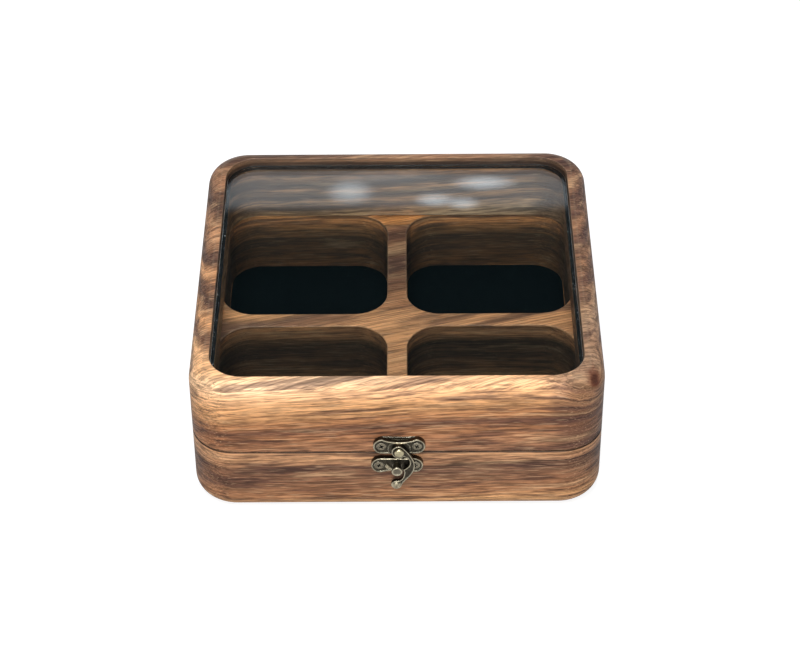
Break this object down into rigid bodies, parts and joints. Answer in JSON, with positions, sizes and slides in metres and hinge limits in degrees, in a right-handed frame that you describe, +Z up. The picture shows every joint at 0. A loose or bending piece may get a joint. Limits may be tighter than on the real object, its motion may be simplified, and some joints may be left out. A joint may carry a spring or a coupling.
{
  "type": "glass lidded coin display case",
  "caption": "Square hinged walnut case with rounded edges, a sunk glass lid, felt-lined coin pockets and a swing-hook latch.",
  "frame": {"origin": "centre of the case's footprint, on its underside", "axes": "+Z up, latch on the -Y side, hinges on the +Y side, +X to the right as the latch is faced"},
  "size_m": [0.21, 0.2226, 0.082],
  "materials": {
    "walnut": "satin oiled walnut with light sapwood streaks",
    "felt": "short-pile felt, near-black teal",
    "glass": "clear polished",
    "bedding": "matt black glazing tape",
    "antique_bronze": "antique bronze plating, rubbed bright on the edges"
  },
  "bodies": {
    "base": {"base_block": "walnut", "felt_pad_front_left": "felt", "felt_pad_front_right": "felt", "felt_pad_back_left": "felt", "felt_pad_back_right": "felt", "hinge_left_base_leaf": "antique_bronze", "hinge_left_base_screw_1": "antique_bronze", "hinge_left_base_screw_2": "antique_bronze", "hinge_left_pin": "antique_bronze", "hinge_right_base_leaf": "antique_bronze", "hinge_right_base_screw_1": "antique_bronze", "hinge_right_base_screw_2": "antique_bronze", "hinge_right_pin": "antique_bronze", "latch_lower_plate": "antique_bronze", "latch_peg": "antique_bronze", "latch_screw_lower_left": "antique_bronze", "latch_screw_lower_right": "antique_bronze"},
    "lid": {"lid_frame": "walnut", "glass_bedding": "bedding", "glass_pane": "glass", "hinge_left_lid_leaf": "antique_bronze", "hinge_left_lid_screw_1": "antique_bronze", "hinge_left_lid_screw_2": "antique_bronze", "hinge_right_lid_leaf": "antique_bronze", "hinge_right_lid_screw_1": "antique_bronze", "hinge_right_lid_screw_2": "antique_bronze", "latch_upper_plate": "antique_bronze", "latch_pivot_rivet": "antique_bronze", "latch_screw_upper_left": "antique_bronze", "latch_screw_upper_right": "antique_bronze"},
    "hook": {"latch_hook": "antique_bronze"}
  },
  "joints": [
    {"name": "lid_hinge", "type": "hinge", "parent": "base", "child": "lid", "pos_m": [0, 0.1076, 0.04015], "axis": [-1, 0, 0], "range_deg": [0, 170]},
    {"name": "hook_swing", "type": "hinge", "parent": "lid", "child": "hook", "pos_m": [0.001, -0.10965, 0.04475], "axis": [0, -1, 0], "range_deg": [0, 290]}
  ]
}
